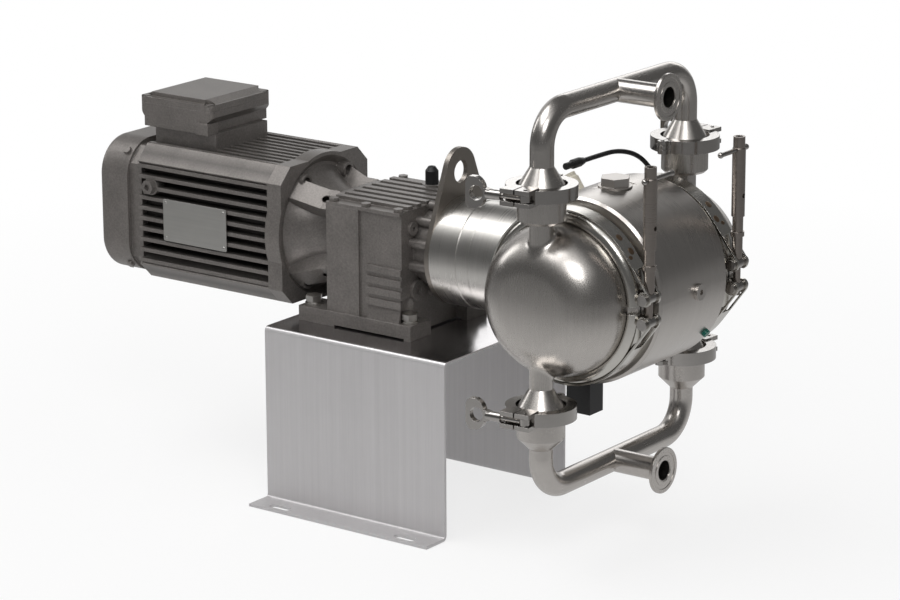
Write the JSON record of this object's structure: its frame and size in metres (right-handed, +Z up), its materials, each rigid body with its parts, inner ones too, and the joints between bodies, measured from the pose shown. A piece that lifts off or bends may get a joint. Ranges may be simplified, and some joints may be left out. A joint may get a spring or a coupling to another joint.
{
  "type": "electric diaphragm pump",
  "caption": "Gearmotor on a bent sheet stand driving a horizontal double diaphragm pump with ball valves, clamped pipe manifolds and band clamps.",
  "frame": {"origin": "centre of the stand's four foot slots, on the floor", "axes": "+Z up, +X from the motor towards the pump along the drive axis, +Y to the rear"},
  "size_m": [0.7715, 0.4447, 0.5242],
  "materials": {
    "brushed_stainless": "satin",
    "polished_stainless": "polished",
    "stand_sheet": "satin",
    "grey_paint": "satin",
    "bright_steel": "satin",
    "gear_steel": "satin",
    "stator_iron": "matte",
    "bronze": "satin",
    "diaphragm_rubber": "matte",
    "gasket_rubber": "matte",
    "ball_plastic": "satin",
    "fan_plastic": "matte",
    "black_plastic": "satin",
    "cream_plastic": "satin",
    "lead_jacket": "satin"
  },
  "bodies": {
    "pump": {"base_stand": "stand_sheet", "foot_bolts": "bright_steel", "gearbox_housing": "grey_paint", "gearbox_cover": "grey_paint", "breather_cap": "black_plastic", "machine_screws": "bright_steel", "bearings": "bright_steel", "motor_bell": "grey_paint", "motor_frame": "grey_paint", "stator": "stator_iron", "rear_shield": "grey_paint", "fan_cowl": "grey_paint", "terminal_box": "grey_paint", "terminal_box_lid": "grey_paint", "drain_plugs": "grey_paint", "lifting_plate": "brushed_stainless", "drive_adapter": "polished_stainless", "pump_housing": "brushed_stainless", "housing_plugs": "brushed_stainless", "front_cover": "brushed_stainless", "rear_cover": "brushed_stainless", "front_clamp_band": "polished_stainless", "rear_clamp_band": "polished_stainless", "valve_gaskets": "gasket_rubber", "discharge_manifold": "brushed_stainless", "suction_manifold": "brushed_stainless", "pipe_clamp_jaws": "polished_stainless", "clamp_barrels": "polished_stainless", "leak_sensor": "cream_plastic", "sensor_connector": "black_plastic", "sensor_cable": "lead_jacket", "cable_coil": "lead_jacket", "junction_box": "black_plastic"},
    "rotor_group": {"rotor": "gear_steel", "cooling_fan": "fan_plastic", "motor_pinion": "gear_steel"},
    "layshaft_group": {"layshaft": "gear_steel"},
    "output_group": {"output_shaft": "gear_steel", "output_gear": "gear_steel", "crank_bearing": "bright_steel"},
    "shuttle": {"shuttle_yoke": "bronze", "diaphragm_discs": "bright_steel", "front_diaphragm": "diaphragm_rubber", "rear_diaphragm": "diaphragm_rubber"},
    "discharge_ball_front": {"discharge_ball_front": "ball_plastic"},
    "discharge_ball_rear": {"discharge_ball_rear": "ball_plastic"},
    "suction_ball_front": {"suction_ball_front": "ball_plastic"},
    "suction_ball_rear": {"suction_ball_rear": "ball_plastic"},
    "swing_bolt_front_upper": {"swing_bolt_front_upper": "polished_stainless"},
    "wing_nut_front_upper": {"wing_nut_front_upper": "polished_stainless"},
    "swing_bolt_rear_upper": {"swing_bolt_rear_upper": "polished_stainless"},
    "wing_nut_rear_upper": {"wing_nut_rear_upper": "polished_stainless"},
    "swing_bolt_front_lower": {"swing_bolt_front_lower": "polished_stainless"},
    "wing_nut_front_lower": {"wing_nut_front_lower": "polished_stainless"},
    "swing_bolt_rear_lower": {"swing_bolt_rear_lower": "polished_stainless"},
    "wing_nut_rear_lower": {"wing_nut_rear_lower": "polished_stainless"},
    "front_spindle": {"front_spindle": "brushed_stainless"},
    "front_tommy_bar": {"front_tommy_bar": "polished_stainless"},
    "rear_spindle": {"rear_spindle": "brushed_stainless"},
    "rear_tommy_bar": {"rear_tommy_bar": "polished_stainless"}
  },
  "joints": [
    {"name": "rotor_spin", "type": "hinge", "parent": "pump", "child": "rotor_group", "pos_m": [-0.2, 0, 0.294], "axis": [1, 0, 0], "continuous": true},
    {"name": "layshaft_spin", "type": "hinge", "parent": "pump", "child": "layshaft_group", "pos_m": [-0.02, 0, 0.249], "axis": [1, 0, 0], "continuous": true},
    {"name": "output_spin", "type": "hinge", "parent": "pump", "child": "output_group", "pos_m": [0.1, 0, 0.294], "axis": [1, 0, 0], "continuous": true},
    {"name": "shuttle_slide", "type": "slide", "parent": "pump", "child": "shuttle", "axis": [0, 1, 0], "range_m": [-0.004, 0.004], "deforming": ["front_diaphragm", "rear_diaphragm"]},
    {"name": "discharge_ball_lift_front", "type": "slide", "parent": "pump", "child": "discharge_ball_front", "axis": [0, 0, 1], "range_m": [0, 0.008]},
    {"name": "discharge_ball_lift_rear", "type": "slide", "parent": "pump", "child": "discharge_ball_rear", "axis": [0, 0, 1], "range_m": [0, 0.008]},
    {"name": "suction_ball_lift_front", "type": "slide", "parent": "pump", "child": "suction_ball_front", "axis": [0, 0, 1], "range_m": [0, 0.008]},
    {"name": "suction_ball_lift_rear", "type": "slide", "parent": "pump", "child": "suction_ball_rear", "axis": [0, 0, 1], "range_m": [0, 0.008]},
    {"name": "swing_front_upper", "type": "hinge", "parent": "pump", "child": "swing_bolt_front_upper", "pos_m": [0.27369, -0.1786, 0.4182], "axis": [0, 0, 1], "range_deg": [0, 100]},
    {"name": "nut_spin_front_upper", "type": "hinge", "parent": "swing_bolt_front_upper", "child": "wing_nut_front_upper", "pos_m": [0.27369, -0.1786, 0.4182], "axis": [-0.9962, -0.0872, 0], "continuous": true},
    {"name": "swing_rear_upper", "type": "hinge", "parent": "pump", "child": "swing_bolt_rear_upper", "pos_m": [0.27369, 0.1786, 0.4182], "axis": [0, 0, -1], "range_deg": [0, 100]},
    {"name": "nut_spin_rear_upper", "type": "hinge", "parent": "swing_bolt_rear_upper", "child": "wing_nut_rear_upper", "pos_m": [0.27369, 0.1786, 0.4182], "axis": [-0.9962, 0.0872, 0], "continuous": true},
    {"name": "swing_front_lower", "type": "hinge", "parent": "pump", "child": "swing_bolt_front_lower", "pos_m": [0.27369, -0.1786, 0.1803], "axis": [0, 0, 1], "range_deg": [0, 100]},
    {"name": "nut_spin_front_lower", "type": "hinge", "parent": "swing_bolt_front_lower", "child": "wing_nut_front_lower", "pos_m": [0.27369, -0.1786, 0.1803], "axis": [-0.9962, -0.0872, 0], "continuous": true},
    {"name": "swing_rear_lower", "type": "hinge", "parent": "pump", "child": "swing_bolt_rear_lower", "pos_m": [0.27369, 0.1786, 0.1803], "axis": [0, 0, -1], "range_deg": [0, 100]},
    {"name": "nut_spin_rear_lower", "type": "hinge", "parent": "swing_bolt_rear_lower", "child": "wing_nut_rear_lower", "pos_m": [0.27369, 0.1786, 0.1803], "axis": [-0.9962, 0.0872, 0], "continuous": true},
    {"name": "front_spindle_spin", "type": "hinge", "parent": "pump", "child": "front_spindle", "pos_m": [0.365, -0.086, 0.35], "axis": [0, 0, 1], "continuous": true},
    {"name": "front_tommy_slide", "type": "slide", "parent": "front_spindle", "child": "front_tommy_bar", "axis": [0, 1, 0], "range_m": [-0.0285, 0]},
    {"name": "rear_spindle_spin", "type": "hinge", "parent": "pump", "child": "rear_spindle", "pos_m": [0.365, 0.086, 0.35], "axis": [0, 0, 1], "continuous": true},
    {"name": "rear_tommy_slide", "type": "slide", "parent": "rear_spindle", "child": "rear_tommy_bar", "axis": [0, 1, 0], "range_m": [-0.0028, 0.0258]}
  ],
  "couplings": [
    {"joint": "layshaft_spin", "follows": "rotor_spin", "ratio": -0.42857},
    {"joint": "output_spin", "follows": "rotor_spin", "ratio": 0.18367}
  ]
}
